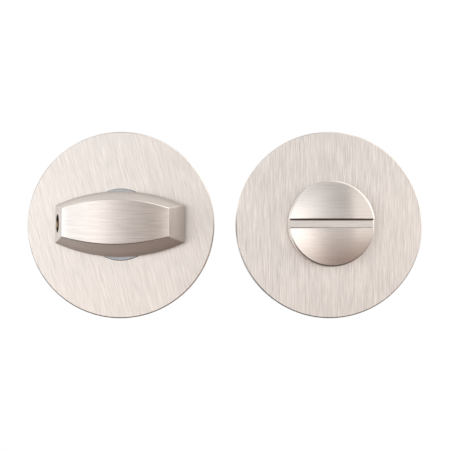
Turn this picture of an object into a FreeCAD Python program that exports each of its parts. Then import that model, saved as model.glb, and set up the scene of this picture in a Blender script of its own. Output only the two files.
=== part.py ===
import FreeCAD, Part
import math
import os
import re

import Sketcher
from FreeCAD import Vector

# Bathroom lock set: the thumb turn's rose and the coin release's rose, side by side.
# The door face is the plane Y = 0, the fronts face -Y and Z is up. The origin is on the
# thumb turn's axis, and the release stands rose_spacing to its right.
# A height is measured forwards from the door face, so a point at height 5 lies at Y = -5.

# Two lengths closer than this are the same one
FUZZ = 1e-4

# How often a rose's details repeat round its axis
RIBS = 12
SNAP_NOSES = 3
WAVES = 3
POINTS_PER_WAVE = 8

os.makedirs("parts", exist_ok=True)
doc = FreeCAD.newDocument("BathroomLock")

# Driving sizes, in mm
SIZES = {
    # roses, the same on both sides of the door
    "rose_dia": 52.0,
    "rose_gap": 6.0,
    "rose_height": 6.5,
    "cover_wall": 1.0,
    "cover_bevel": 0.3,
    "cover_lift": 0.2,
    "cover_hole_gap": 0.2,
    "notch_width": 5.0,
    "notch_height": 1.0,
    # snap fit of the cover on its base plate
    "cover_gap": 0.2,
    "snap_height": 1.7,
    "snap_width": 1.0,
    "snap_groove": 0.3,
    "snap_nose": 0.35,
    "snap_gap": 0.1,
    "snap_nose_arc": 24.0,
    # base plate
    "web_thickness": 1.9,
    "hub_gap": 2.5,
    "hub_wall": 1.5,
    "rim_wall": 2.0,
    "rib_thickness": 1.2,
    "bolt_inset": 7.0,
    "pillar_wall": 1.0,
    "spigot_dia": 8.0,
    "spigot_length": 6.0,
    "screw_hole_dia": 4.2,
    "screw_sink_dia": 7.4,
    "screw_pillar_dia": 8.4,
    # neck, bearing bush and the rings that hold the neck in
    "neck_dia": 16.0,
    "neck_clearance": 0.05,
    "neck_tail": 0.35,
    "bush_wall": 1.1,
    "bush_flange": 0.7,
    "bush_proud": 0.8,
    "bush_edge": 0.2,
    "bush_seat_gap": 0.05,
    "end_play": 0.1,
    "ring_gap": 0.05,
    "wave_height": 1.25,
    "wave_sheet": 0.3,
    "wave_band": 2.3,
    "wave_bore_gap": 0.35,
    "washer_thickness": 0.5,
    "washer_band": 2.9,
    "washer_bore_gap": 0.1,
    "circlip_thickness": 1.0,
    "circlip_groove": 0.4,
    "circlip_gap": 0.05,
    "circlip_back": 2.1,
    "circlip_horn": 1.1,
    "circlip_opening": 2.2,
    "circlip_ear_dia": 3.5,
    "circlip_ear_angle": 14.0,
    "circlip_hole_dia": 1.5,
    # thumb turn: the knob tapers from its base to the edge of its crowned top
    "knob_stand_off": 3.0,
    "knob_base_length": 35.4,
    "knob_base_width": 18.1,
    "knob_base_end_width": 10.3,
    "knob_top_length": 28.34,
    "knob_top_width": 11.9,
    "knob_top_end_width": 7.7,
    "knob_end_height": 13.3,
    "knob_crown_height": 16.8,
    "knob_edge_radius": 0.4,
    "crown_overrun": 1.0,
    "collar_step": 0.75,
    # square spindle and the grub screw that clamps it in the knob
    "spindle_width": 6.0,
    "spindle_length": 68.0,
    "spindle_chamfer": 0.4,
    "socket_gap": 0.05,
    "socket_spare": 0.3,
    "socket_roof": 5.0,
    "grub_dia": 5.0,
    "grub_length": 10.0,
    "grub_gap": 0.05,
    "grub_height": 6.7,
    "grub_chamfer": 0.4,
    "grub_hex": 2.5,
    "grub_hex_depth": 2.5,
    # coin release
    "head_overhang": 1.85,
    "head_lift": 0.3,
    "head_rim_height": 6.7,
    "head_crown": 1.8,
    "head_bevel": 0.4,
    "head_recess_gap": 0.3,
    "coin_slot_width": 2.3,
    "coin_slot_depth": 2.8,
    "coin_slot_chamfer": 0.2,
    "release_socket_depth": 9.7,
    # bolts through the door, from the thumb turn's side into the release's sleeve nuts
    "bolt_dia": 4.0,
    "bolt_shank_dia": 3.5,
    "bolt_shank_length": 11.0,
    "bolt_length": 50.0,
    "bolt_hole_gap": 0.15,
    "bolt_head_dia": 7.0,
    "bolt_head_height": 2.6,
    "bolt_head_dome": 0.6,
    "bolt_head_gap": 0.25,
    "bolt_sink_depth": 3.2,
    "bolt_tip_chamfer": 0.6,
    "sleeve_dia": 6.0,
    "sleeve_length": 16.3,
    "sleeve_gap": 0.05,
    "sleeve_bore_dia": 3.3,
    "sleeve_bore_length": 13.5,
    "recess_arm": 1.9,
    "recess_width": 0.9,
    "recess_depth": 1.5,
}

# Sizes worked out from the driving ones: radii are measured from an axis, heights from the door face
WORKED = {
    "rose_r": "rose_dia / 2",
    "rose_spacing": "rose_dia + rose_gap",
    "cover_inner_r": "rose_r - cover_wall",
    "plate_r": "cover_inner_r - cover_gap",
    "plate_front": "rose_height - cover_wall",
    "web_rear": "plate_front - web_thickness",
    "neck_r": "neck_dia / 2",
    "bush_bore_r": "neck_r + neck_clearance",
    "bush_body_r": "bush_bore_r + bush_wall",
    "bush_flange_r": "bush_body_r + bush_flange",
    "bush_front": "rose_height + bush_proud",
    "cover_hole_r": "bush_flange_r + cover_hole_gap",
    "plate_bore_r": "bush_body_r + bush_seat_gap",
    "collar_rear": "bush_front + end_play",
    # the rings behind the web, from front to rear
    "wave_front": "web_rear - ring_gap",
    "wave_rear": "wave_front - wave_height",
    "washer_front": "wave_rear - ring_gap",
    "washer_rear": "washer_front - washer_thickness",
    "circlip_front": "washer_rear - ring_gap",
    "circlip_rear": "circlip_front - circlip_thickness",
    "groove_rear": "circlip_rear - ring_gap",
    "neck_end": "groove_rear - neck_tail",
    "groove_r": "neck_r - circlip_groove",
    "circlip_r": "groove_r + circlip_gap",
    "washer_bore_r": "neck_r + washer_bore_gap",
    "washer_r": "washer_bore_r + washer_band",
    "wave_bore_r": "neck_r + wave_bore_gap",
    "hub_inner_r": "washer_r + hub_gap",
    "hub_r": "hub_inner_r + hub_wall",
    "rim_inner_r": "plate_r - rim_wall",
    "bolt_r": "rose_r - bolt_inset",
    "bolt_sink_r": "bolt_head_dia / 2 + bolt_head_gap",
    "pillar_r": "bolt_sink_r + pillar_wall",
    "bolt_seat": "plate_front - bolt_sink_depth",
    "bolt_front": "bolt_seat + bolt_head_height",
    # thumb turn
    "knob_rear": "rose_height + knob_stand_off",
    "knob_end": "rose_height + knob_end_height",
    "knob_crown": "rose_height + knob_crown_height",
    "knob_rise": "knob_crown - knob_rear",
    "crown_drop": "knob_crown - knob_end",
    "crown_r": "((knob_top_length / 2)^2 + crown_drop^2) / (2 * crown_drop)",
    "end_taper": "knob_rise / (knob_end - knob_rear) / 2",
    "socket_half": "spindle_width / 2 + socket_gap",
    "socket_end": "knob_crown - socket_roof",
    "spindle_front": "socket_end - socket_spare",
    "grub_axis": "rose_height + grub_height",
    # coin release
    "head_r": "bush_flange_r + head_overhang",
    "head_edge": "rose_height + head_lift",
    "head_rim": "rose_height + head_rim_height",
    "head_top": "head_rim + head_crown",
    "head_dome_r": "((head_r - head_bevel)^2 + head_crown^2) / (2 * head_crown)",
    "head_recess_r": "bush_flange_r + head_recess_gap",
    "coin_slot_floor": "head_top - coin_slot_depth",
}


def make_sheet():
    """The spreadsheet: driving sizes as plain numbers, then the worked ones as formulas."""
    cells = doc.addObject("Spreadsheet::Sheet", "Sizes")
    rows = list(SIZES.items()) + [(name, "=" + formula) for name, formula in WORKED.items()]
    for row, (name, content) in enumerate(rows, start=1):
        cells.set(f"A{row}", name)
        cells.set(f"B{row}", str(content))
        cells.setAlias(f"B{row}", name)
    doc.recompute()
    return cells


sheet = make_sheet()


def value(formula):
    """A formula's value, worked out by the sheet."""
    return float(sheet.evalExpression(formula))


def bound(formula):
    """The same formula as another object reads it, with each size looked up in the sheet."""
    known = set(SIZES) | set(WORKED)
    return re.sub(r"[a-z_]+", lambda word: f"Sizes.{word[0]}" if word[0] in known else word[0], formula)


def tie(target, prop, formula):
    target.setExpression(prop, bound(formula))


def make_body(label, x="0"):
    """An empty body whose own axis stands at x, on the door face."""
    body = doc.addObject("PartDesign::Body", label)
    body.Label = label
    tie(body, "Placement.Base.x", x)
    return body


def make_sketch(body, name, plane="XZ_Plane", offset="0"):
    """A sketch on a plane of its body. On XZ_Plane it looks at the front, and its offset is a height."""
    sketch = body.newObject("Sketcher::SketchObject", name)
    support = [feature for feature in body.Origin.OriginFeatures if feature.Role == plane][0]
    sketch.AttachmentSupport = [(support, "")]
    sketch.MapMode = "FlatFace"
    tie(sketch, "AttachmentOffset.Base.z", offset)
    return sketch


def hold(sketch, geometry, end, x, y):
    """Holds one end or centre of a line, arc or circle at two formulas from the sketch's origin."""
    for kind, formula in (("DistanceX", x), ("DistanceY", y)):
        rule = Sketcher.Constraint(kind, -1, 1, geometry, end, value(formula))
        number = sketch.addConstraint(rule)
        tie(sketch, f"Constraints[{number}]", formula)


def hold_radius(sketch, geometry, radius):
    number = sketch.addConstraint(Sketcher.Constraint("Radius", geometry, value(radius)))
    tie(sketch, f"Constraints[{number}]", radius)


def draw_circle(sketch, x, y, radius):
    centre = Vector(value(x), value(y), 0)
    number = sketch.addGeometry(Part.Circle(centre, Vector(0, 0, 1), value(radius)), False)
    hold(sketch, number, 3, x, y)
    hold_radius(sketch, number, radius)


def middle_of_arc(start, finish, radius, side):
    """The middle of the shorter arc from start to finish, which bulges to one side of its way."""
    chord = finish - start
    across = Vector(chord.y, -chord.x, 0).normalize() * side
    bulge = radius - math.sqrt(radius**2 - (chord.Length / 2) ** 2)
    return (start + finish) / 2 + across * bulge


def draw_outline(sketch, points, hollow=False):
    """Closes an outline through points (x, y), or (x, y, radius) where an arc leads on to the next.

    Arcs bulge out of the outline, or into it if it is hollow.
    """
    corners = [Vector(value(point[0]), value(point[1]), 0) for point in points]
    ahead = corners[1:] + corners[:1]
    twice_area = sum(a.x * b.y - b.x * a.y for a, b in zip(corners, ahead))
    side = 1 if (twice_area > 0) != hollow else -1
    numbers = []
    ends = []
    for point, start, finish in zip(points, corners, ahead):
        if len(point) == 2:
            shape = Part.LineSegment(start, finish)
            ends.append((1, 2))
        elif side > 0:
            # an arc that bulges to the right of its way runs anticlockwise, which is how a sketch keeps it
            shape = Part.Arc(start, middle_of_arc(start, finish, value(point[2]), side), finish)
            ends.append((1, 2))
        else:
            shape = Part.Arc(finish, middle_of_arc(start, finish, value(point[2]), side), start)
            ends.append((2, 1))
        numbers.append(sketch.addGeometry(shape, False))
    for place, point in enumerate(points):
        after = (place + 1) % len(points)
        meet = (numbers[place], ends[place][1], numbers[after], ends[after][0])
        sketch.addConstraint(Sketcher.Constraint("Coincident", *meet))
        hold(sketch, numbers[place], ends[place][0], point[0], point[1])
        if len(point) == 3:
            hold_radius(sketch, numbers[place], point[2])


def draw_box(sketch, left, right, low, high):
    draw_outline(sketch, [(left, low), (right, low), (right, high), (left, high)])


def pad(body, name, sketch, length, backwards=False):
    """Adds the sketch's shape, forwards from its plane, or backwards, towards the door."""
    feature = body.newObject("PartDesign::Pad", name)
    feature.Profile = sketch
    feature.Reversed = backwards
    tie(feature, "Length", length)
    doc.recompute()
    return feature


def pocket(body, name, sketch, length=None, forwards=False):
    """Cuts the sketch's shape towards the door, or forwards, to a depth or right through."""
    before = body.Shape.Volume
    feature = body.newObject("PartDesign::Pocket", name)
    feature.Profile = sketch
    feature.Reversed = forwards
    if length is None:
        feature.Type = "ThroughAll"
    else:
        tie(feature, "Length", length)
    doc.recompute()
    if body.Shape.Volume >= before:
        raise RuntimeError(f"{body.Label}: {name} cuts nothing")
    return feature


def revolve(body, name, points, angle=None):
    """Turns a profile of (radius, height) points about the body's own Y axis."""
    sketch = make_sketch(body, name + "Profile", "XY_Plane")
    draw_outline(sketch, [(point[0], f"-({point[1]})", *point[2:]) for point in points])
    feature = body.newObject("PartDesign::Revolution", name)
    feature.Profile = sketch
    feature.ReferenceAxis = (sketch, ["V_Axis"])
    if angle:
        feature.Midplane = True
        tie(feature, "Angle", angle)
    doc.recompute()
    return feature


def repeat_around(body, name, feature, count):
    """Repeats a feature evenly about the body's Y axis."""
    axis = [part for part in body.Origin.OriginFeatures if part.Role == "Y_Axis"][0]
    pattern = body.newObject("PartDesign::PolarPattern", name)
    pattern.Originals = [feature]
    pattern.Axis = (axis, [""])
    pattern.Angle = 360
    pattern.Occurrences = count
    body.Tip = pattern
    doc.recompute()


def dress(body, kind, name, size, wanted):
    """Rounds or bevels the edges of the body's last shape that the test picks."""
    base = body.Tip
    edges = [f"Edge{n}" for n, edge in enumerate(base.Shape.Edges, start=1) if wanted(edge)]
    feature = body.newObject(f"PartDesign::{kind}", name)
    feature.Base = (base, edges)
    tie(feature, "Radius" if kind == "Fillet" else "Size", size)
    doc.recompute()
    return feature


def height_of(edge):
    return -edge.CenterOfMass.y


def near(a, b):
    return abs(a - b) < FUZZ


# Rose: cover, base plate and bearing bush

def make_cover(label, x):
    """Spun and pressed cover, with the groove that the base plate's noses snap into."""
    body = make_body(label, x)
    groove_low = "snap_height - snap_width / 2"
    groove_high = "snap_height + snap_width / 2"
    revolve(body, "Shell", [
        ("cover_hole_r", "plate_front"),
        ("cover_inner_r", "plate_front"),
        ("cover_inner_r", groove_high),
        ("cover_inner_r + snap_groove", groove_high),
        ("cover_inner_r + snap_groove", groove_low),
        ("cover_inner_r", groove_low),
        ("cover_inner_r", "cover_lift"),
        ("rose_r", "cover_lift"),
        ("rose_r", "rose_height - cover_bevel"),
        ("rose_r - cover_bevel", "rose_height"),
        ("cover_hole_r", "rose_height"),
    ])
    notch = make_sketch(body, "NotchProfile", offset="cover_lift")
    draw_box(notch, "-notch_width / 2", "notch_width / 2",
             "-rose_r - cover_wall", "-cover_inner_r + cover_wall")
    pocket(body, "PryNotch", notch, "notch_height", forwards=True)
    return body


def make_plate(label, x, bolt_hole_r):
    """Moulded base plate: web, hub and rim, ribs between them, pillars and door spigots."""
    body = make_body(label, x)
    revolve(body, "Dish", [
        ("plate_bore_r", "0"),
        ("hub_r", "0"),
        ("hub_r", "web_rear"),
        ("rim_inner_r", "web_rear"),
        ("rim_inner_r", "0"),
        ("plate_r", "0"),
        ("plate_r", "plate_front"),
        ("plate_bore_r", "plate_front"),
    ])
    rib_profile = make_sketch(body, "RibProfile")
    draw_box(rib_profile, "hub_r - hub_wall / 2", "rim_inner_r + rim_wall / 2",
             "-rib_thickness / 2", "rib_thickness / 2")
    rib = pad(body, "Rib", rib_profile, "web_rear")
    repeat_around(body, "Ribs", rib, RIBS)
    pillars = make_sketch(body, "PillarProfile")
    draw_circle(pillars, "-bolt_r", "0", "pillar_r")
    draw_circle(pillars, "bolt_r", "0", "pillar_r")
    draw_circle(pillars, "0", "-bolt_r", "screw_pillar_dia / 2")
    draw_circle(pillars, "0", "bolt_r", "screw_pillar_dia / 2")
    pad(body, "Pillars", pillars, "web_rear")
    # the hub is bored out last, so that nothing stands in the rings' way
    recess = make_sketch(body, "RingRecessProfile")
    draw_circle(recess, "0", "0", "hub_inner_r")
    pocket(body, "RingRecess", recess, "web_rear", forwards=True)
    spigots = make_sketch(body, "SpigotProfile")
    draw_circle(spigots, "-bolt_r", "0", "spigot_dia / 2")
    draw_circle(spigots, "bolt_r", "0", "spigot_dia / 2")
    pad(body, "Spigots", spigots, "spigot_length", backwards=True)
    nose = revolve(body, "SnapNose", [
        ("rim_inner_r + rim_wall / 2", "snap_height - snap_width / 2 + snap_gap"),
        ("plate_r + snap_nose", "snap_height - snap_width / 2 + snap_gap"),
        ("plate_r", "snap_height + snap_width / 2 - snap_gap"),
        ("rim_inner_r + rim_wall / 2", "snap_height + snap_width / 2 - snap_gap"),
    ], angle="snap_nose_arc")
    repeat_around(body, "SnapNoses", nose, SNAP_NOSES)
    holes = make_sketch(body, "BoltHoleProfile", offset="plate_front")
    draw_circle(holes, "-bolt_r", "0", bolt_hole_r)
    draw_circle(holes, "bolt_r", "0", bolt_hole_r)
    pocket(body, "BoltHoles", holes)
    sinks = make_sketch(body, "BoltSinkProfile", offset="plate_front")
    draw_circle(sinks, "-bolt_r", "0", "bolt_sink_r")
    draw_circle(sinks, "bolt_r", "0", "bolt_sink_r")
    pocket(body, "BoltSinks", sinks, "bolt_sink_depth")
    screws = make_sketch(body, "ScrewHoleProfile", offset="plate_front")
    draw_circle(screws, "0", "-bolt_r", "screw_hole_dia / 2")
    draw_circle(screws, "0", "bolt_r", "screw_hole_dia / 2")
    pocket(body, "ScrewHoles", screws)
    hole_r = value("screw_hole_dia / 2")
    front = value("plate_front")
    dress(body, "Chamfer", "ScrewSinks", "(screw_sink_dia - screw_hole_dia) / 2",
          lambda edge: hasattr(edge.Curve, "Radius") and near(edge.Curve.Radius, hole_r)
          and near(height_of(edge), front))
    return body


def make_bush(label, x):
    """Flanged plastic bush that the neck turns in. Its flange is the grey ring under the knob."""
    body = make_body(label, x)
    revolve(body, "Bush", [
        ("bush_bore_r", "web_rear"),
        ("bush_body_r", "web_rear"),
        ("bush_body_r", "plate_front"),
        ("bush_flange_r", "plate_front"),
        ("bush_flange_r", "bush_front - bush_edge"),
        ("bush_flange_r - bush_edge", "bush_front"),
        ("bush_bore_r", "bush_front"),
    ])
    return body


# Rings behind the base plate's web

def make_thrust_washer(label, x):
    body = make_body(label, x)
    revolve(body, "Washer", [
        ("washer_bore_r", "washer_rear"),
        ("washer_r", "washer_rear"),
        ("washer_r", "washer_front"),
        ("washer_bore_r", "washer_front"),
    ])
    return body


def make_circlip(label, x):
    """External circlip: thickest at the top, tapering to two eared horns at the bottom."""
    body = make_body(label, x)
    # the outer circle is set off upwards, so that the ring is thick at the back and thin at the horns
    outer_r = "circlip_r + (circlip_back + circlip_horn) / 2"
    rise = "(circlip_back - circlip_horn) / 2"
    ear_r = "circlip_r + circlip_ear_dia / 2"
    ear_x = f"({ear_r}) * sin(circlip_ear_angle * 1 deg)"
    ear_z = f"-({ear_r}) * cos(circlip_ear_angle * 1 deg)"
    disc = make_sketch(body, "DiscProfile", offset="circlip_rear")
    draw_circle(disc, "0", rise, outer_r)
    pad(body, "Disc", disc, "circlip_thickness")
    ears = make_sketch(body, "EarProfile", offset="circlip_rear")
    draw_circle(ears, f"-({ear_x})", ear_z, "circlip_ear_dia / 2")
    draw_circle(ears, ear_x, ear_z, "circlip_ear_dia / 2")
    pad(body, "Ears", ears, "circlip_thickness")
    bore = make_sketch(body, "BoreProfile", offset="circlip_front")
    draw_circle(bore, "0", "0", "circlip_r")
    pocket(body, "Bore", bore)
    opening = make_sketch(body, "OpeningProfile", offset="circlip_front")
    draw_box(opening, "-circlip_opening / 2", "circlip_opening / 2",
             "-circlip_r - 2 * circlip_ear_dia", "-circlip_r / 2")
    pocket(body, "Opening", opening)
    holes = make_sketch(body, "PlierHoleProfile", offset="circlip_front")
    draw_circle(holes, f"-({ear_x})", ear_z, "circlip_hole_dia / 2")
    draw_circle(holes, ear_x, ear_z, "circlip_hole_dia / 2")
    pocket(body, "PlierHoles", holes)
    return body


def wavy_edge(radius, rear, rise):
    """One edge of the wave washer: a closed smooth curve that rises and falls as it goes round."""
    steps = WAVES * POINTS_PER_WAVE
    points = []
    for step in range(steps):
        turn = 2 * math.pi * step / steps
        height = rear + rise * (1 + math.cos(WAVES * turn)) / 2
        points.append(Vector(radius * math.cos(turn), -height, radius * math.sin(turn)))
    curve = Part.BSplineCurve()
    curve.interpolate(Points=points, PeriodicFlag=True)
    return curve.toShape()


def make_wave_washer(label, x):
    """Spring-steel wave washer. It takes up the end play and gives the turn its drag."""
    inner_r = value("wave_bore_r")
    outer_r = value("wave_bore_r + wave_band")
    rear = value("wave_rear")
    sheet_metal = value("wave_sheet")
    rise = value("wave_height") - sheet_metal
    inner_rear = wavy_edge(inner_r, rear, rise)
    outer_rear = wavy_edge(outer_r, rear, rise)
    inner_front = wavy_edge(inner_r, rear + sheet_metal, rise)
    outer_front = wavy_edge(outer_r, rear + sheet_metal, rise)
    faces = [
        Part.makeRuledSurface(inner_rear, outer_rear),
        Part.makeRuledSurface(inner_front, outer_front),
        Part.makeRuledSurface(inner_rear, inner_front),
        Part.makeRuledSurface(outer_rear, outer_front),
    ]
    shell = Part.Shell(faces)
    shell.sewShape()
    solid = Part.Solid(shell)
    if solid.Volume < 0:
        solid.reverse()
    feature = doc.addObject("Part::Feature", label)
    feature.Label = label
    feature.Shape = solid
    feature.Placement.Base = Vector(value(x), 0, 0)
    return feature


# Necks, which the thumb turn and the release head share

def neck_profile():
    """From the axis at the rear, up the neck, in at the circlip's groove and on to the neck's front."""
    return [
        ("0", "neck_end"),
        ("neck_r", "neck_end"),
        ("neck_r", "groove_rear"),
        ("groove_r", "groove_rear"),
        ("groove_r", "washer_rear"),
        ("neck_r", "washer_rear"),
    ]


def cut_square_socket(body, depth):
    """Square socket for the spindle, blind from the rear."""
    square = make_sketch(body, "SocketProfile", offset="neck_end")
    draw_box(square, "-socket_half", "socket_half", "-socket_half", "socket_half")
    pocket(body, "SquareSocket", square, depth, forwards=True)


# Thumb turn

def knob_section(body, name, share):
    """The knob's outline at a share of its rise: two bowed sides and two straight ends.

    The sides reach their top width at the crown, and the ends their top length and width at
    the crown's two ends, which lie lower.
    """
    length = f"knob_base_length / 2 - (knob_base_length - knob_top_length) * end_taper * {share}"
    width = f"knob_base_width / 2 - (knob_base_width - knob_top_width) / 2 * {share}"
    end = f"knob_base_end_width / 2 - (knob_base_end_width - knob_top_end_width) * end_taper * {share}"
    bow = f"(({width}) - ({end}))"
    side_r = f"(({length})^2 + {bow}^2) / (2 * {bow})"
    sketch = make_sketch(body, name, offset=f"knob_rear + knob_rise * {share}")
    draw_outline(sketch, [
        (length, f"-({end})"),
        (length, end, side_r),
        (f"-({length})", end),
        (f"-({length})", f"-({end})", side_r),
    ])
    return sketch


def make_thumb_turn():
    """Forged knob, collar and neck in one piece."""
    body = make_body("thumb_turn")
    revolve(body, "Neck", neck_profile() + [
        ("neck_r", "collar_rear"),
        ("neck_r + collar_step", "collar_rear"),
        ("neck_r + collar_step", "knob_rear"),
        ("0", "knob_rear"),
    ])
    # the loft's upper outline lies above the crown, so that the crown's cut trims all of its top
    knob = body.newObject("PartDesign::AdditiveLoft", "Knob")
    knob.Profile = knob_section(body, "BaseOutline", 0)
    knob.Sections = [knob_section(body, "UpperOutline", 1.05)]
    doc.recompute()
    # the top is crowned along the knob's length: all above one long arc comes off
    reach = "(knob_top_length / 2 + crown_overrun)"
    shoulder = f"-(knob_crown - crown_r + sqrt(crown_r^2 - {reach}^2))"
    crown = make_sketch(body, "CrownProfile", "XY_Plane")
    draw_outline(crown, [
        (f"-{reach}", shoulder),
        ("-knob_base_length / 2", shoulder),
        ("-knob_base_length / 2", "-2 * knob_crown"),
        ("knob_base_length / 2", "-2 * knob_crown"),
        ("knob_base_length / 2", shoulder),
        (reach, shoulder, "crown_r"),
    ], hollow=True)
    cut = pocket(body, "Crown", crown)
    cut.Midplane = True
    doc.recompute()
    rear = value("knob_rear")
    dress(body, "Fillet", "KnobEdges", "knob_edge_radius", lambda edge: edge.BoundBox.YMin < -rear - FUZZ)
    cut_square_socket(body, "socket_end - neck_end")
    grub = make_sketch(body, "GrubHoleProfile", "YZ_Plane")
    draw_circle(grub, "-grub_axis", "0", "grub_dia / 2 + grub_gap")
    pocket(body, "GrubHole", grub)
    return body


def make_spindle():
    """Square steel spindle that goes through the lock case to the release."""
    body = make_body("spindle")
    square = make_sketch(body, "SquareProfile", offset="spindle_front")
    draw_box(square, "-spindle_width / 2", "spindle_width / 2", "-spindle_width / 2", "spindle_width / 2")
    pad(body, "Square", square, "spindle_length", backwards=True)
    dress(body, "Chamfer", "Edges", "spindle_chamfer", lambda edge: True)
    return body


def make_grub_screw():
    """Grub screw with a hexagon socket. Its inner end bears on the spindle's flat."""
    body = make_body("thumb_turn_grub_screw")
    inner_end = "-spindle_width / 2"
    disc = make_sketch(body, "RodProfile", "YZ_Plane", offset=inner_end)
    draw_circle(disc, "-grub_axis", "0", "grub_dia / 2")
    pad(body, "Rod", disc, "grub_length", backwards=True)
    dress(body, "Chamfer", "Ends", "grub_chamfer", lambda edge: edge.Closed)
    hexagon = make_sketch(body, "HexProfile", "YZ_Plane", offset=f"{inner_end} - grub_length")
    corner_r = "grub_hex / 2 / cos(30 deg)"
    draw_outline(hexagon, [
        (f"-grub_axis + {corner_r} * cos({60 * n} deg)", f"{corner_r} * sin({60 * n} deg)") for n in range(6)
    ])
    pocket(body, "HexSocket", hexagon, "grub_hex_depth", forwards=True)
    return body


# Coin release

def make_release_head():
    """Turned head with a shallow dome and a coin slot right across, on the same neck."""
    body = make_body("release_head", "rose_spacing")
    revolve(body, "Head", neck_profile() + [
        ("neck_r", "bush_front + end_play"),
        ("head_recess_r", "bush_front + end_play"),
        ("head_recess_r", "head_edge"),
        ("head_r", "head_edge"),
        ("head_r", "head_rim - head_bevel"),
        ("head_r - head_bevel", "head_rim", "head_dome_r"),
        ("0", "head_top"),
    ])
    slot = make_sketch(body, "CoinSlotProfile", offset="head_top")
    draw_box(slot, "-head_r - head_overhang", "head_r + head_overhang",
             "-coin_slot_width / 2", "coin_slot_width / 2")
    pocket(body, "CoinSlot", slot, "coin_slot_depth")
    half_slot = value("coin_slot_width / 2")
    rim = value("head_rim")
    floor = value("coin_slot_floor")
    dress(body, "Chamfer", "CoinSlotEdges", "coin_slot_chamfer",
          lambda edge: near(abs(edge.CenterOfMass.z), half_slot) and near(edge.BoundBox.ZLength, 0)
          and height_of(edge) > rim)
    end = value("head_r - coin_slot_width / 2")
    dress(body, "Chamfer", "CoinSlotEnds", "head_bevel",
          lambda edge: near(height_of(edge), floor) and abs(edge.CenterOfMass.x) > end)
    cut_square_socket(body, "release_socket_depth")
    return body


# Bolts and sleeve nuts

def cut_cross(body):
    """Cross recess in a bolt's head."""
    arm = "recess_arm"
    half = "recess_width / 2"
    cross = make_sketch(body, "CrossProfile", offset="bolt_front")
    draw_outline(cross, [
        (half, half), (half, arm), (f"-{half}", arm), (f"-{half}", half),
        (f"-{arm}", half), (f"-{arm}", f"-{half}"), (f"-{half}", f"-{half}"), (f"-{half}", f"-{arm}"),
        (half, f"-{arm}"), (half, f"-{half}"), (arm, f"-{half}"), (arm, half),
    ])
    pocket(body, "CrossRecess", cross, "recess_depth")


def cheese_head():
    """A slightly domed cheese head's profile, from under its rim to the middle of its top."""
    dome_r = "((bolt_head_dia / 2)^2 + bolt_head_dome^2) / (2 * bolt_head_dome)"
    return [
        ("bolt_head_dia / 2", "bolt_seat"),
        ("bolt_head_dia / 2", "bolt_front - bolt_head_dome", dome_r),
        ("0", "bolt_front"),
    ]


def make_bolt(label, x):
    """Cheese-head machine screw: a plain shank in the base plate, then the thread's outer diameter."""
    body = make_body(label, x)
    shank_r = "bolt_shank_dia / 2"
    shank_end = "bolt_seat - bolt_shank_length"
    tip = "bolt_seat - bolt_length"
    revolve(body, "Bolt", [
        ("0", tip),
        ("bolt_dia / 2 - bolt_tip_chamfer", tip),
        ("bolt_dia / 2", f"{tip} + bolt_tip_chamfer"),
        ("bolt_dia / 2", shank_end),
        (shank_r, shank_end),
        (shank_r, "bolt_seat"),
    ] + cheese_head())
    cut_cross(body)
    return body


def make_sleeve_nut(label, x):
    """Sleeve nut with the same head and a blind tapped bore, which takes a bolt through the door."""
    body = make_body(label, x)
    mouth = "bolt_seat - sleeve_length"
    bore_end = f"{mouth} + sleeve_bore_length"
    revolve(body, "Sleeve", [
        ("0", bore_end),
        ("sleeve_bore_dia / 2", bore_end),
        ("sleeve_bore_dia / 2", mouth),
        ("sleeve_dia / 2", mouth),
        ("sleeve_dia / 2", "bolt_seat"),
    ] + cheese_head())
    cut_cross(body)
    return body


def make_rose(side, x, bolt_hole_r):
    """The pieces that both sides of the door have, in their order from front to rear."""
    return [
        make_cover(f"{side}_rose_cover", x),
        make_bush(f"{side}_bearing_bush", x),
        make_plate(f"{side}_base_plate", x, bolt_hole_r),
        make_wave_washer(f"{side}_wave_washer", x),
        make_thrust_washer(f"{side}_thrust_washer", x),
        make_circlip(f"{side}_circlip", x),
    ]


pieces = make_rose("turn", "0", "bolt_shank_dia / 2 + bolt_hole_gap")
pieces += [
    make_thumb_turn(),
    make_grub_screw(),
    make_spindle(),
    make_bolt("through_bolt_left", "-bolt_r"),
    make_bolt("through_bolt_right", "bolt_r"),
]
pieces += make_rose("release", "rose_spacing", "sleeve_dia / 2 + sleeve_gap")
pieces += [
    make_release_head(),
    make_sleeve_nut("sleeve_nut_left", "rose_spacing - bolt_r"),
    make_sleeve_nut("sleeve_nut_right", "rose_spacing + bolt_r"),
]

doc.recompute()
for item in doc.Objects:
    if "Invalid" in item.State or "Error" in item.State:
        raise RuntimeError(f"{item.Label} failed: {item.State}")
for piece in pieces:
    shape = piece.Shape
    if shape.isNull() or not shape.isValid() or len(shape.Solids) != 1:
        raise RuntimeError(f"{piece.Label} is not one valid solid")
    shape.exportStep(f"parts/{piece.Label}.step")
    print(piece.Label, round(shape.Volume, 1), len(shape.Faces), "faces")
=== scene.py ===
import math

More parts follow.
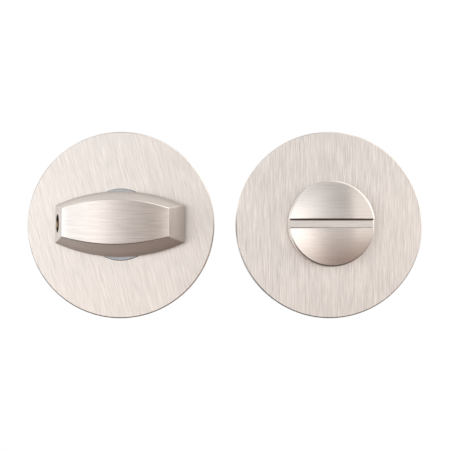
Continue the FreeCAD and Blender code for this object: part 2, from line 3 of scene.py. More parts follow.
import bmesh
import bpy
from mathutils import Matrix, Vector


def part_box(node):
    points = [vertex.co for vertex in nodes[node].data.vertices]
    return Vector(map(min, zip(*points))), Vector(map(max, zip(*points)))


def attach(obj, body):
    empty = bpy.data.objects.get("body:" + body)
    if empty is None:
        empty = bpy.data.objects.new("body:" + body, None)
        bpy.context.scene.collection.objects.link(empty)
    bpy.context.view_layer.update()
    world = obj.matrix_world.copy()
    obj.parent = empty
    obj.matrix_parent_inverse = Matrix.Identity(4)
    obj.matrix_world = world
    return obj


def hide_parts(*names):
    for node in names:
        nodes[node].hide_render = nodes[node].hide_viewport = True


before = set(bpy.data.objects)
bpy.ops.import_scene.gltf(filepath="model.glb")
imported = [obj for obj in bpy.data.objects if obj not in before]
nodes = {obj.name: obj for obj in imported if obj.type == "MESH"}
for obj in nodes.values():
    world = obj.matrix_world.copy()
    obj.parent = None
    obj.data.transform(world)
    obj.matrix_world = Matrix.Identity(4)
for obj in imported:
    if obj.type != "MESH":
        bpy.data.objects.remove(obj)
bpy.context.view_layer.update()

# The looks of a bathroom lock set: a thumb turn and a coin release, side by side with their fronts
# to -Y. Lengths are in metres.

MM = 0.001

turn_axis_x = 0.0
release_axis_x = (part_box("release_rose_cover")[0].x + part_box("release_rose_cover")[1].x) / 2
rose_front_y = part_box("turn_rose_cover")[0].y


# Camera

PHOTO_SIDE_PX = 450
# where the line of sight that is square to the roses meets the photo
SQUARE_PX = Vector((222, 266))
CAMERA_TO_ROSE = 250 * MM
MM_PER_PX = 0.2785
TURN_AXIS_PX = Vector((120.87, 224.58))
# in millimetres, as a camera's own settings have it
SENSOR_WIDTH = 36
NEAREST_SEEN = 10 * MM


def photo_point(px, py):
    """The place on the roses' front plane that the photo shows at a pixel."""
    return Vector((turn_axis_x + (px - TURN_AXIS_PX.x) * MM_PER_PX * MM, rose_front_y,
                   (TURN_AXIS_PX.y - py) * MM_PER_PX * MM))


def make_camera():
    eye = photo_point(*SQUARE_PX) - Vector((0, CAMERA_TO_ROSE, 0))
    target = photo_point(PHOTO_SIDE_PX / 2, PHOTO_SIDE_PX / 2)
    data = bpy.data.cameras.new("photo_camera")
    data.sensor_width = SENSOR_WIDTH
    data.lens = data.sensor_width * (target - eye).length / (PHOTO_SIDE_PX * MM_PER_PX * MM)
    data.clip_start = NEAREST_SEEN
    camera = bpy.data.objects.new("photo_camera", data)
    bpy.context.scene.collection.objects.link(camera)
    camera.location = eye
    camera.rotation_mode = "QUATERNION"
    camera.rotation_quaternion = (target - eye).to_track_quat("-Z", "Y")
    bpy.context.scene.camera = camera


# Shader nodes

def add_node(tree, kind, settings=None, **values):
    """Adds a node: settings are its properties, values its inputs by name, as numbers or links."""
    made = tree.nodes.new("ShaderNode" + kind)
    for name, setting in (settings or {}).items():
        setattr(made, name, setting)
    for name, given in values.items():
        socket = made.inputs[int(name[1:])] if name[1:].isdigit() else made.inputs[name.replace("_", " ")]
        if isinstance(given, bpy.types.NodeSocket):
            tree.links.new(given, socket)
        else:
            socket.default_value = given
    return made


def math_node(tree, operation, first, second=0.0):
    return add_node(tree, "Math", {"operation": operation}, _0=first, _1=second).outputs[0]


def new_material(name):
    """An empty node material with its shader: (material, tree, Principled BSDF)."""
    material = bpy.data.materials.new(name)
    material.use_nodes = True
    tree = material.node_tree
    shader = tree.nodes["Principled BSDF"]
    return material, tree, shader


def colour(red, green, blue):
    return (red, green, blue, 1.0)


# a surface whose normal has less than this along Y stands up from the roses' plane
STEEP_NORMAL = 0.72


def scaled_place(tree, turn_y, density):
    """Object coordinates, turned about Y so that the grain runs up, then scaled per axis."""
    place = add_node(tree, "TexCoord").outputs["Object"]
    turned = add_node(tree, "VectorRotate", {"rotation_type": "Y_AXIS"}, Vector=place, Angle=turn_y)
    scaled = add_node(tree, "VectorMath", {"operation": "MULTIPLY"}, _0=turned.outputs[0], _1=density)
    return scaled.outputs[0]


def ring_place(tree, axis_x, density, around):
    """Coordinates that change fast with the distance from a Y axis and along it, slowly around it."""
    place = add_node(tree, "TexCoord").outputs["Object"]
    moved = add_node(tree, "VectorMath", {"operation": "SUBTRACT"}, _0=place, _1=(axis_x, 0, 0)).outputs[0]
    flat = add_node(tree, "VectorMath", {"operation": "MULTIPLY"}, _0=moved, _1=(1, 0, 1)).outputs[0]
    radius = add_node(tree, "VectorMath", {"operation": "LENGTH"}, _0=flat).outputs["Value"]
    parts = add_node(tree, "SeparateXYZ", Vector=moved)
    across = math_node(tree, "MULTIPLY", radius, density)
    along = math_node(tree, "MULTIPLY", parts.outputs["Y"], density)
    drift = math_node(tree, "MULTIPLY", parts.outputs["X"], around)
    return add_node(tree, "CombineXYZ", X=across, Y=along, Z=drift).outputs[0]


def steep_place(tree):
    """1 where a surface stands up from the roses' plane, as an edge, a flank or a turned side, else 0."""
    normal = add_node(tree, "SeparateXYZ", Vector=add_node(tree, "TexCoord").outputs["Normal"]).outputs
    return math_node(tree, "LESS_THAN", math_node(tree, "ABSOLUTE", normal["Y"]), STEEP_NORMAL)


def grain_place(tree, grain_turn, across, along):
    """Coordinates for brush lines: across the grain on a face, and round the part on what stands up."""
    place = add_node(tree, "TexCoord").outputs["Object"]
    turned = add_node(tree, "VectorRotate", {"rotation_type": "Y_AXIS"}, Vector=place, Angle=grain_turn)
    parts = add_node(tree, "SeparateXYZ", Vector=turned.outputs[0]).outputs
    fast = add_node(tree, "Mix", {"data_type": "FLOAT"}, Factor=steep_place(tree), A=parts["X"], B=parts["Y"])
    return add_node(tree, "CombineXYZ", X=math_node(tree, "MULTIPLY", fast.outputs[0], across),
                    Y=math_node(tree, "MULTIPLY", parts["X"], along),
                    Z=math_node(tree, "MULTIPLY", parts["Z"], along)).outputs[0]


def noise(tree, vector, scale=1.0, detail=2.0, roughness=0.5):
    return add_node(tree, "TexNoise", Vector=vector, Scale=scale, Detail=detail,
                    Roughness=roughness).outputs["Fac"]


def spread(tree, value, low, high):
    """Noise, which lies mostly between 0.25 and 0.75, as a number between low and high."""
    return add_node(tree, "MapRange", Value=value, From_Min=0.25, From_Max=0.75,
                    To_Min=low, To_Max=high).outputs["Result"]


def finish_metal(tree, shader, tint, roughness, height, relief):
    tree.links.new(tint, shader.inputs["Base Color"])
    tree.links.new(roughness, shader.inputs["Roughness"])
    shader.inputs["Metallic"].default_value = 1.0
    bump = add_node(tree, "Bump", Strength=1.0, Distance=relief, Height=height)
    tree.links.new(bump.outputs[0], shader.inputs["Normal"])


def mixed_colour(tree, factor, first, second):
    return add_node(tree, "Mix", {"data_type": "RGBA"}, Factor=factor, _6=first, _7=second).outputs[2]


def toned(tree, tint, painted_light):
    """A tint times the painted light and shade that its last argument gives, as a factor or a colour that
    differs from place to place.
    """
    return add_node(tree, "VectorMath", {"operation": "MULTIPLY"}, _0=tint, _1=painted_light(tree)).outputs[0]


# the normal's size along Y where a rounded ridge begins, beyond a flank, and where it ends, at a face
RIDGE_START = (0.30, 0.50)
RIDGE_END = (0.84, 0.93)


def ridge_place(tree):
    """1 on a rounded ridge between a face and what stands up from it, and 0 on both of those."""
    normal = add_node(tree, "SeparateXYZ", Vector=add_node(tree, "TexCoord").outputs["Normal"]).outputs
    level = math_node(tree, "ABSOLUTE", normal["Y"])
    rising = add_node(tree, "MapRange", {"interpolation_type": "SMOOTHSTEP"}, Value=level,
                      From_Min=RIDGE_START[0], From_Max=RIDGE_START[1]).outputs["Result"]
    falling = add_node(tree, "MapRange", {"interpolation_type": "SMOOTHSTEP"}, Value=level,
                       From_Min=RIDGE_END[0], From_Max=RIDGE_END[1], To_Min=1.0, To_Max=0.0).outputs["Result"]
    return math_node(tree, "MULTIPLY", rising, falling)


# noise densities, for each metre: brush marks across the grain and along it, and clouding every way
FINE_GRAIN = (7000, 260)
COARSE_GRAIN = (4500, 130)
CLOUDING = (90, 90, 90)


def brushed_metal(name, base, grain_turn, roughness, anisotropy, streaks, painted_light=None, crossed=None,
                  rubbed=0.0, relief=0.010 * MM):
    """Plated metal brushed along one direction: grain_turn is its angle from upright, about Y.

    The long scratches spread a reflection across themselves, so the tangent lies across the grain.
    The painted light and shade, a function of the tree after streaks, gives what the tint is
    multiplied by, as toned has it. crossed(tree) is 1 where the reflection spreads the other way, and
    rubbed is the share by which the rounded ridges are smoother than the rest.
    """
    material, tree, shader = new_material(name)
    fine = noise(tree, grain_place(tree, grain_turn, *FINE_GRAIN), detail=3)
    coarse = noise(tree, grain_place(tree, grain_turn, *COARSE_GRAIN), detail=2)
    cloud = noise(tree, scaled_place(tree, 0, CLOUDING), detail=3)
    grain = add_node(tree, "Mix", {"data_type": "FLOAT"}, Factor=0.5, A=fine, B=coarse).outputs[0]
    shade = math_node(tree, "MULTIPLY", spread(tree, grain, 1 - streaks, 1 + streaks),
                      spread(tree, cloud, 0.985, 1.015))
    tint = add_node(tree, "VectorMath", {"operation": "SCALE"}, _0=base, Scale=shade).outputs[0]
    # painted light and shade, multiplied into the tint
    if painted_light:
        tint = toned(tree, tint, painted_light)
    rough = math_node(tree, "ADD", spread(tree, grain, -0.03, 0.03),
                      spread(tree, cloud, roughness - 0.01, roughness + 0.01))
    if rubbed:
        kept = math_node(tree, "SUBTRACT", 1.0, math_node(tree, "MULTIPLY", ridge_place(tree), rubbed))
        rough = math_node(tree, "MULTIPLY", rough, kept)
    finish_metal(tree, shader, tint, rough, grain, relief)
    shader.inputs["Anisotropic"].default_value = anisotropy
    on_face = (math.cos(grain_turn), 0, math.sin(grain_turn))
    across = add_node(tree, "Mix", {"data_type": "VECTOR"}, Factor=steep_place(tree), _4=on_face,
                      _5=(0, 1, 0)).outputs[1]
    if crossed:
        along = (math.sin(grain_turn), 0, -math.cos(grain_turn))
        across = add_node(tree, "Mix", {"data_type": "VECTOR"}, Factor=crossed(tree), _4=across,
                          _5=along).outputs[1]
    tangent = add_node(tree, "VectorTransform", {"vector_type": "VECTOR", "convert_from": "OBJECT",
                                                 "convert_to": "WORLD"}, Vector=across)
    tree.links.new(tangent.outputs[0], shader.inputs["Tangent"])
    return material


KNOB_REAR_GAP = 3.0 * MM
# painted shade at the foot of the knob's flanks: the height over which it fades in, and its factor at the
# foot
FOOT_SHADE_HEIGHT = 7.0 * MM
FOOT_SHADE_FACTOR = 0.76


def knob_painted_shade(tree):
    """A factor of painted shade that darkens the thumb turn towards the foot of its flanks."""
    depth = add_node(tree, "SeparateXYZ", Vector=add_node(tree, "TexCoord").outputs["Object"]).outputs["Y"]
    foot_y = rose_front_y - KNOB_REAR_GAP
    return add_node(tree, "MapRange", {"interpolation_type": "SMOOTHSTEP"}, Value=depth,
                    From_Min=foot_y - FOOT_SHADE_HEIGHT, From_Max=foot_y, To_Min=1.0,
                    To_Max=FOOT_SHADE_FACTOR).outputs["Result"]


COIN_SLOT_HALF_WIDTH = 1.15 * MM
COIN_SLOT_DEPTH = 2.8 * MM
# painted shade, brown-black, along the coin slot's upper wall and in its floor's corners
SLOT_WALL_PAINTED_SHADE = colour(0.07, 0.025, 0.015)
SLOT_CORNER_PAINTED_SHADE = colour(0.08, 0.04, 0.03)
# painted shade on the release head's side, fading in over this distance towards the rose
HEAD_SIDE_PAINTED_SHADE = colour(0.38, 0.33, 0.30)
HEAD_SIDE_SHADE_FADE = 4.5 * MM
# how far off its own plane a wall or the floor of the slot still counts as that
WALL_PLAY = 0.1 * MM
FLOOR_PLAY = 0.05 * MM
# how wide the painted shade is where the floor meets the upper and the lower wall
UPPER_CORNER_WIDTH = 0.28 * MM
LOWER_CORNER_WIDTH = 0.14 * MM
# a normal's size along an axis: above the first it faces that way, and below the second it lies across
SQUARE_NORMAL = 0.8
ACROSS_NORMAL = 0.25


def slot_places(tree):
    """Masks on the release head: its slot's upper wall, floor and floor corners, and its own side near the
    rose; all but the floor take painted shade.
    """
    coords = add_node(tree, "TexCoord").outputs
    normal = add_node(tree, "SeparateXYZ", Vector=coords["Normal"]).outputs
    place = add_node(tree, "SeparateXYZ", Vector=coords["Object"]).outputs
    floor_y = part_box("release_head")[0].y + COIN_SLOT_DEPTH
    inside = math_node(tree, "LESS_THAN", math_node(tree, "ABSOLUTE", place["Z"]),
                       COIN_SLOT_HALF_WIDTH + WALL_PLAY)
    wall = math_node(tree, "MULTIPLY", inside, math_node(tree, "LESS_THAN", normal["Z"], -SQUARE_NORMAL))
    from_floor = math_node(tree, "ABSOLUTE", math_node(tree, "SUBTRACT", place["Y"], floor_y))
    level = math_node(tree, "MULTIPLY", math_node(tree, "LESS_THAN", from_floor, FLOOR_PLAY),
                      math_node(tree, "LESS_THAN", normal["Y"], -SQUARE_NORMAL))
    floor = math_node(tree, "MULTIPLY", inside, level)
    upper = math_node(tree, "GREATER_THAN", place["Z"], COIN_SLOT_HALF_WIDTH - UPPER_CORNER_WIDTH)
    lower = math_node(tree, "LESS_THAN", place["Z"], LOWER_CORNER_WIDTH - COIN_SLOT_HALF_WIDTH)
    corner = math_node(tree, "MULTIPLY", floor, math_node(tree, "ADD", upper, lower))
    upright = math_node(tree, "LESS_THAN", math_node(tree, "ABSOLUTE", normal["Y"]), ACROSS_NORMAL)
    facing = math_node(tree, "GREATER_THAN", math_node(tree, "ABSOLUTE", normal["Z"]), SQUARE_NORMAL)
    in_slot = math_node(tree, "MULTIPLY", inside, facing)
    outside = math_node(tree, "MULTIPLY", upright, math_node(tree, "SUBTRACT", 1.0, in_slot))
    towards_foot = add_node(tree, "MapRange", {"interpolation_type": "SMOOTHSTEP"}, Value=place["Y"],
                            From_Min=rose_front_y - HEAD_SIDE_SHADE_FADE, From_Max=rose_front_y)
    side = math_node(tree, "MULTIPLY", outside, towards_foot.outputs["Result"])
    return wall, floor, corner, side


def head_painted_shade(tree):
    """Colour factors of painted shade: brown-black along the coin slot's upper wall and floor corners, and a
    dark side.
    """
    wall, floor, corner, side = slot_places(tree)
    tone = mixed_colour(tree, side, colour(1, 1, 1), HEAD_SIDE_PAINTED_SHADE)
    tone = mixed_colour(tree, wall, tone, SLOT_WALL_PAINTED_SHADE)
    return mixed_colour(tree, corner, tone, SLOT_CORNER_PAINTED_SHADE)


def slot_floor(tree):
    return slot_places(tree)[1]


# painted highlight across the grub hole's thread, with painted shade above and below: how far its
# middle lies below the axis, and how far from that middle the highlight ends and the full shade begins
BAND_DROP = 0.3 * MM
BAND_LIGHT_END = 0.3 * MM
BAND_DARK_START = 1.2 * MM
HOLE_PAINTED_HIGHLIGHT = 1.3
HOLE_PAINTED_SHADE = 0.10


def hole_painted_light(tree):
    """A factor that paints a highlight across the middle of the grub hole's thread and shade above and below
    it.
    """
    place = add_node(tree, "SeparateXYZ", Vector=add_node(tree, "TexCoord").outputs["Object"]).outputs
    height = math_node(tree, "ABSOLUTE", math_node(tree, "ADD", place["Z"], BAND_DROP))
    return add_node(tree, "MapRange", {"interpolation_type": "SMOOTHSTEP"}, Value=height,
                    From_Min=BAND_LIGHT_END, From_Max=BAND_DARK_START, To_Min=HOLE_PAINTED_HIGHLIGHT,
                    To_Max=HOLE_PAINTED_SHADE).outputs["Result"]


def worked_metal(name, base, stain, lines, roughness, relief=0.006 * MM, painted_light=None):
    """Metal with machining lines and a patchy tint: lines makes their coordinates in the tree."""
    material, tree, shader = new_material(name)
    marks = noise(tree, lines(tree), detail=3)
    patches = noise(tree, scaled_place(tree, 0, (160, 160, 160)), detail=4, roughness=0.6)
    specks = noise(tree, scaled_place(tree, 0, (3000, 3000, 3000)), detail=2)
    tinted = mixed_colour(tree, spread(tree, patches, 0, 1), colour(*base), colour(*stain))
    shade = math_node(tree, "MULTIPLY", spread(tree, marks, 0.92, 1.06), spread(tree, specks, 0.96, 1.04))
    tint = add_node(tree, "VectorMath", {"operation": "SCALE"}, _0=tinted, Scale=shade).outputs[0]
    # painted light and shade, multiplied into the tint
    if painted_light:
        tint = toned(tree, tint, painted_light)
    rough = math_node(tree, "ADD", spread(tree, marks, -0.05, 0.05),
                      spread(tree, patches, roughness - 0.04, roughness + 0.04))
    finish_metal(tree, shader, tint, rough, marks, relief)
    return material


def moulded_plastic(name, base, fibres, roughness, relief):
    """Injection-moulded plastic: short fibres and flow marks under a spark-eroded mould's fine grain."""
    material, tree, shader = new_material(name)
    specks = noise(tree, scaled_place(tree, 0, (5200, 5200, 5200)), detail=2)
    flow = noise(tree, scaled_place(tree, math.radians(35), (260, 260, 90)), detail=4, roughness=0.6)
    grain = noise(tree, scaled_place(tree, 0, (9000, 9000, 9000)), detail=2)
    shade = math_node(tree, "MULTIPLY", spread(tree, specks, 1 - fibres, 1 + fibres),
                      spread(tree, flow, 0.94, 1.06))
    tint = add_node(tree, "VectorMath", {"operation": "SCALE"}, _0=base, Scale=shade).outputs[0]
    tree.links.new(tint, shader.inputs["Base Color"])
    rough = math_node(tree, "ADD", spread(tree, grain, -0.04, 0.04),
                      spread(tree, flow, roughness - 0.05, roughness + 0.05))
    tree.links.new(rough, shader.inputs["Roughness"])
    bump = add_node(tree, "Bump", Strength=1.0, Distance=relief, Height=grain)
    tree.links.new(bump.outputs[0], shader.inputs["Normal"])
    return material


# World and floor

# The studio's soft lights, as zones of the surroundings. A zone's direction is its angle from the
# roses' own axis towards the camera, then its turn about that axis: 0 is right, 90 up and 180 left.
# Its spread is where it has faded to three fifths, and all angles are in degrees.
LIGHT_ZONES = [
    # name, from axis, turn, spread, red, green, blue
    ("left", 76, 180, 17, 1.45, 1.50, 1.52),
    ("upper left", 50, 156, 15, 0.60, 0.60, 0.60),
    ("front", 6, 180, 14, 0.12, 0.12, 0.12),
    ("near left", 32, 184, 14, 1.26, 1.26, 1.26),
    ("near low", 24, 230, 13, 0.86, 0.76, 0.69),
    ("near top", 26, 112, 13, 0.80, 0.80, 0.80),
    ("top", 52, 68, 14, 0.45, 0.45, 0.45),
    ("top edge", 88, 72, 11, 0.95, 0.91, 0.87),
    ("upper side", 92, 125, 18, 0.75, 0.74, 0.73),
    ("near right", 19, 0, 12, 0.58, 0.57, 0.56),
    ("right", 50, 350, 14, 0.26, 0.21, 0.18),
    ("right below", 36, 318, 10, 0.24, 0.15, 0.11),
    ("upper right", 82, 38, 16, 1.40, 1.32, 1.20),
    ("low", 42, 272, 13, 0.22, 0.12, 0.09),
    ("low right", 76, 322, 13, 0.36, 0.21, 0.15),
    ("far right", 105, 12, 20, 1.40, 1.35, 1.32),
    ("behind", 152, 90, 42, 0.90, 0.87, 0.85),
]
ROOM = (0.05, 0.04, 0.035)


def zone_light(tree, direction, from_axis, turn, spread_angle, *strength):
    """One zone's light: strongest in its own direction and fading like a bell curve around it."""
    out, around = math.radians(from_axis), math.radians(turn)
    middle = (math.sin(out) * math.cos(around), -math.cos(out), math.sin(out) * math.sin(around))
    facing = add_node(tree, "VectorMath", {"operation": "DOT_PRODUCT"}, _0=direction, _1=middle)
    away = math_node(tree, "SUBTRACT", facing.outputs["Value"], 1.0)
    fall = math_node(tree, "EXPONENT", math_node(tree, "DIVIDE", away, math.radians(spread_angle) ** 2))
    return add_node(tree, "VectorMath", {"operation": "SCALE"}, _0=strength, Scale=fall).outputs[0]


def make_world():
    """White for the camera; reflections see the studio's light zones in a dim room."""
    world = bpy.data.worlds.new("studio")
    bpy.context.scene.world = world
    world.use_nodes = True
    tree = world.node_tree
    tree.nodes.clear()
    direction = add_node(tree, "TexCoord").outputs["Generated"]
    total = ROOM
    for zone in LIGHT_ZONES:
        light = zone_light(tree, direction, *zone[1:])
        total = add_node(tree, "VectorMath", {"operation": "ADD"}, _0=light, _1=total).outputs[0]
    seen = add_node(tree, "Background", Color=colour(1, 1, 1), Strength=1.0)
    lit = add_node(tree, "Background", Color=total, Strength=1.0)
    ray = add_node(tree, "LightPath").outputs["Is Camera Ray"]
    mixed = add_node(tree, "MixShader", _0=ray, _1=lit.outputs[0], _2=seen.outputs[0])
    out = tree.nodes.new("ShaderNodeOutputWorld")
    tree.links.new(mixed.outputs[0], out.inputs["Surface"])


# a small soft panel close on the right, which the release head sees and the knob hardly does
PANEL_PLACE = Vector((142, -106, 25)) * MM
PANEL_SIZE = (60 * MM, 110 * MM)
PANEL_POWER = 0.0128
PANEL_TINT = (1.0, 0.95, 0.90)


def make_panel():
    data = bpy.data.lights.new("right_panel", "AREA")
    data.shape = "RECTANGLE"
    data.size, data.size_y = PANEL_SIZE
    data.energy = PANEL_POWER
    data.color = PANEL_TINT
    light = bpy.data.objects.new("right_panel", data)
    bpy.context.scene.collection.objects.link(light)
    light.location = PANEL_PLACE
    away = PANEL_PLACE - Vector((release_axis_x, rose_front_y, 0))
    light.rotation_mode = "QUATERNION"
    light.rotation_quaternion = away.to_track_quat("Z", "Y")
    light.visible_camera = False


FLOOR_RADIUS = 0.9
# how far the floor lies below the two axes
FLOOR_DROP = 0.25
FLOOR_TINT = colour(0.86, 0.85, 0.84)


def make_floor():
    mesh = bpy.data.meshes.new("floor")
    shape = bmesh.new()
    bmesh.ops.create_circle(shape, cap_ends=True, segments=96, radius=FLOOR_RADIUS)
    shape.to_mesh(mesh)
    shape.free()
    floor = bpy.data.objects.new("floor", mesh)
    bpy.context.scene.collection.objects.link(floor)
    floor.location = (release_axis_x / 2, 0, -FLOOR_DROP)
    material, _, shader = new_material("floor_paper")
    shader.inputs["Base Color"].default_value = FLOOR_TINT
    shader.inputs["Roughness"].default_value = 0.9
    mesh.materials.append(material)
    floor.visible_glossy = False


# Screw threads

STEPS_PER_TURN = 24
# one pitch of a thread's profile, as (share of the pitch, share of the depth)
THREAD_PROFILE = ((0.0, 0.0), (0.25, 0.0), (0.5625, 1.0), (0.6875, 1.0))


def add_thread(shape, origin, along, start, end, inner_r, outer_r, pitch, limit):
    """Adds a helical thread about the line from origin along a direction, between two distances.

    limit(raw, distance, radius, outward) keeps a point within the thread's run-out or end face: raw
    is its distance before it is cut to the two ends, and outward its direction from the line.
    """
    side = along.orthogonal().normalized()
    other = along.cross(side)
    steps = math.ceil(((end - start) / pitch + 2) * STEPS_PER_TURN)
    rows = []
    for step in range(steps + STEPS_PER_TURN + 1):
        turn = 2 * math.pi * step / STEPS_PER_TURN
        outward = side * math.cos(turn) + other * math.sin(turn)
        row = []
        for share, depth in THREAD_PROFILE:
            raw = start + pitch * (step / STEPS_PER_TURN + share - 2)
            distance = min(max(raw, start), end)
            radius = inner_r + (outer_r - inner_r) * depth
            distance, radius = limit(raw, distance, radius, outward)
            row.append(shape.verts.new(origin + along * distance + outward * radius))
        rows.append(row)
    for step in range(steps):
        for place in range(len(THREAD_PROFILE)):
            near_row, far_row, ahead = rows[step], rows[step + 1], place + 1
            if ahead == len(THREAD_PROFILE):
                corners = (near_row[place], far_row[place], rows[step + 1 + STEPS_PER_TURN][0],
                           rows[step + STEPS_PER_TURN][0])
            else:
                corners = (near_row[place], far_row[place], far_row[ahead], near_row[ahead])
            face = shape.faces.new(corners)
            face.smooth = True
    return side, other


def add_disc(shape, origin, along, side, other, distance, radii):
    """Adds a flat ring between two radii, or a disc where the first is 0."""
    rings = []
    for radius in radii:
        if radius == 0:
            rings.append([shape.verts.new(origin + along * distance)] * STEPS_PER_TURN)
        else:
            turns = [2 * math.pi * step / STEPS_PER_TURN for step in range(STEPS_PER_TURN)]
            rings.append([shape.verts.new(origin + along * distance
                                          + (side * math.cos(turn) + other * math.sin(turn)) * radius)
                          for turn in turns])
    for step in range(STEPS_PER_TURN):
        after = (step + 1) % STEPS_PER_TURN
        corners = [rings[0][step], rings[1][step], rings[1][after], rings[0][after]]
        shape.faces.new(list(dict.fromkeys(corners)))


def clean_shape(shape, sharp_angle=math.radians(25)):
    """Welds what lies together, drops empty faces and marks the sharp edges."""
    bmesh.ops.remove_doubles(shape, verts=shape.verts[:], dist=0.0005 * MM)
    bmesh.ops.dissolve_degenerate(shape, edges=shape.edges[:], dist=0.0005 * MM)
    bmesh.ops.recalc_face_normals(shape, faces=shape.faces[:])
    for edge in shape.edges:
        edge.smooth = len(edge.link_faces) == 2 and edge.calc_face_angle(0) < sharp_angle


def new_piece(name, shape, material, body):
    mesh = bpy.data.meshes.new(name)
    shape.to_mesh(mesh)
    shape.free()
    mesh.materials.append(material)
    piece = bpy.data.objects.new(name, mesh)
    bpy.context.scene.collection.objects.link(piece)
    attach(piece, body)
    return piece


def copied_shape(name, dropped):
    """A bmesh of a CAD node's mesh, without the faces that the test picks."""
    shape = bmesh.new()
    shape.from_mesh(nodes[name].data)
    gone = [face for face in shape.faces if dropped(face)]
    bmesh.ops.delete(shape, geom=gone, context="FACES")
    return shape


BOLT_THREAD = {"start": 8.7 * MM, "inner_r": 1.57 * MM, "outer_r": 2.0 * MM, "pitch": 0.7 * MM}
NUT_BORE_DEPTH = 13.5 * MM
SHANK_R = 1.75 * MM
TIP_R = 1.4 * MM
WELD = 0.01 * MM


def make_threaded_bolt(name, material):
    """The bolt with its M4 thread cut, in place of the CAD bolt's plain cylinder."""
    low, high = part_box(name)
    origin = Vector(((low.x + high.x) / 2, 0, 0))
    along = Vector((0, 1, 0))
    start, end = BOLT_THREAD["start"], high.y
    inner_r = BOLT_THREAD["inner_r"]
    shape = copied_shape(name, lambda face: all(vert.co.y > start - WELD for vert in face.verts))

    def limit(raw, distance, radius, outward):
        if raw < start or raw > end:
            radius = inner_r
        return distance, min(radius, TIP_R + (end - distance))

    side, other = add_thread(shape, origin, along, start, end, inner_r, BOLT_THREAD["outer_r"],
                             BOLT_THREAD["pitch"], limit)
    add_disc(shape, origin, along, side, other, start, (inner_r, SHANK_R))
    add_disc(shape, origin, along, side, other, end, (0, TIP_R))
    clean_shape(shape)
    piece = new_piece(name + "_threaded", shape, material, "root")
    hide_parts(name)


def make_tapped_nut(name, material):
    """The sleeve nut with its M4 thread tapped in its bore."""
    low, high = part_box(name)
    origin = Vector(((low.x + high.x) / 2, 0, 0))
    along = Vector((0, 1, 0))
    mouth = high.y
    bore_r, root_r, pitch = 1.65 * MM, 2.0 * MM, 0.7 * MM
    bore_end = mouth - NUT_BORE_DEPTH

    def on_bore(face):
        depths = [vert.co.y for vert in face.verts]
        far = max((vert.co - origin).cross(along).length for vert in face.verts)
        return far < bore_r + WELD and max(depths) - min(depths) > WELD and min(depths) > bore_end - WELD

    shape = copied_shape(name, on_bore)

    def limit(raw, distance, radius, outward):
        if raw < bore_end or raw > mouth:
            radius = bore_r
        return distance, min(radius, bore_r + (mouth - distance))

    add_thread(shape, origin, along, bore_end, mouth, bore_r, root_r, pitch, limit)
    clean_shape(shape)
    piece = new_piece(name + "_tapped", shape, material, "root")
    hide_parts(name)


# the knob's end leans in by this much for each unit of height, and the thread stops this short of it
KNOB_END_LEAN = 0.3427
THREAD_SET_BACK = 0.12 * MM


def make_grub_thread(material):
    """The tapped brass that shows in the knob's end, outside the grub screw: an M5 thread."""
    low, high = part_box("thumb_turn_grub_screw")
    axis_y = (low.y + high.y) / 2
    origin = Vector((low.x, axis_y, 0))
    along = Vector((-1, 0, 0))
    hole_r, crest_r, pitch = 2.54 * MM, 2.12 * MM, 0.8 * MM
    knob_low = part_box("thumb_turn")[0]
    reach = low.x - knob_low.x
    knob_rear_y = rose_front_y - KNOB_REAR_GAP

    def limit(raw, distance, radius, outward):
        height = knob_rear_y - (axis_y + outward.y * radius)
        face = reach - KNOB_END_LEAN * height - THREAD_SET_BACK
        if raw > face:
            distance = face
            radius = hole_r
        if raw < 0:
            radius = hole_r
        return distance, radius

    shape = bmesh.new()
    add_thread(shape, origin, along, 0, reach, crest_r, hole_r, pitch, limit)
    clean_shape(shape)
    new_piece("grub_hole_thread", shape, material, "turn")


# Materials by node

def dress_node(name, material):
    for slot in nodes[name].material_slots:
        slot.material = material


NICKEL = (0.86, 0.815, 0.78)
BRASS = (0.83, 0.60, 0.27)
BRASS_DARK = (0.62, 0.40, 0.16)
# dull brass for the grub hole's thread, darker still as painted shade for the inside of the hole
BRASS_DULL_AND_SHADED = (0.42, 0.31, 0.16)
BRASS_STAIN = (0.22, 0.15, 0.08)
ZINC = (0.72, 0.74, 0.77)
ZINC_WARM = (0.70, 0.68, 0.60)
SPRING = (0.30, 0.29, 0.28)
SPRING_BLUE = (0.16, 0.18, 0.25)
BLACK_OXIDE = (0.060, 0.060, 0.066)
BLACK_WORN = (0.16, 0.15, 0.15)

make_camera()
make_world()
make_panel()
make_floor()

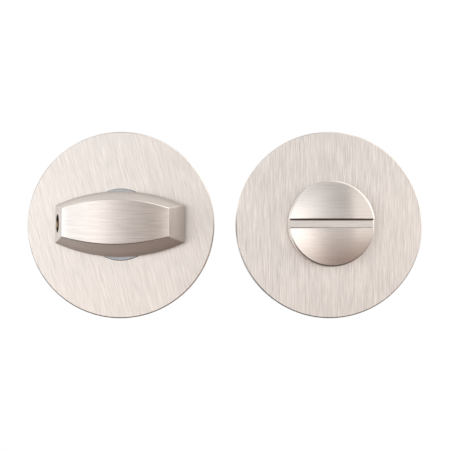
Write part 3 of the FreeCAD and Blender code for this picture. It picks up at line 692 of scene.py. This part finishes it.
LEFT_GRAIN = math.radians(15)
ALONG_X = math.radians(90)
dress_node("turn_rose_cover", brushed_metal("nickel_turn_rose", NICKEL, LEFT_GRAIN, 0.36, 0.7, 0.24))
dress_node("release_rose_cover", brushed_metal("nickel_release_rose", NICKEL, 0.0, 0.36, 0.7, 0.30))
dress_node("thumb_turn", brushed_metal("nickel_knob", NICKEL, ALONG_X, 0.42, 0.5, 0.20,
                                       painted_light=knob_painted_shade, rubbed=0.6))
dress_node("release_head", brushed_metal("nickel_head", NICKEL, ALONG_X, 0.30, 0.6, 0.12,
                                         painted_light=head_painted_shade, crossed=slot_floor))

plate_plastic = moulded_plastic("glass_filled_nylon", (0.018, 0.018, 0.020), 0.35, 0.48, 0.012 * MM)
bush_plastic = moulded_plastic("acetal", (0.65, 0.70, 0.77), 0.03, 0.34, 0.002 * MM)


def spring_lines(tree):
    return scaled_place(tree, 0, (5000, 900, 5000))


for side, axis_x in (("turn", turn_axis_x), ("release", release_axis_x)):
    dress_node(f"{side}_base_plate", plate_plastic)
    dress_node(f"{side}_bearing_bush", bush_plastic)
    spring = worked_metal(f"{side}_spring_steel", SPRING, SPRING_BLUE, spring_lines, 0.36)
    dress_node(f"{side}_wave_washer", spring)
    dress_node(f"{side}_circlip", spring)
    dress_node(f"{side}_thrust_washer", worked_metal(
        f"{side}_zinc_washer", ZINC, ZINC_WARM, lambda tree: ring_place(tree, axis_x, 3500, 150), 0.30))
dress_node("spindle", worked_metal(
    "zinc_spindle", ZINC, ZINC_WARM, lambda tree: scaled_place(tree, 0, (4500, 60, 4500)), 0.34))
dress_node("thumb_turn_grub_screw", worked_metal(
    "black_oxide", BLACK_OXIDE, BLACK_WORN, lambda tree: scaled_place(tree, 0, (6000, 200, 200)), 0.40))
for name in ("through_bolt_left", "through_bolt_right"):
    bolt_x = (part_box(name)[0].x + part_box(name)[1].x) / 2
    make_threaded_bolt(name, worked_metal(
        name + "_zinc", ZINC, ZINC_WARM, lambda tree: ring_place(tree, bolt_x, 6000, 200), 0.30))
for name in ("sleeve_nut_left", "sleeve_nut_right"):
    nut_x = (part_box(name)[0].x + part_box(name)[1].x) / 2
    make_tapped_nut(name, worked_metal(
        name + "_brass", BRASS, BRASS_DARK, lambda tree: ring_place(tree, nut_x, 6000, 200), 0.26))
make_grub_thread(worked_metal(
    "tapped_brass", BRASS_DULL_AND_SHADED, BRASS_STAIN, lambda tree: scaled_place(tree, 0, (6000, 200, 200)), 0.45,
    painted_light=hole_painted_light))

bpy.context.scene.view_settings.view_transform = "Standard"
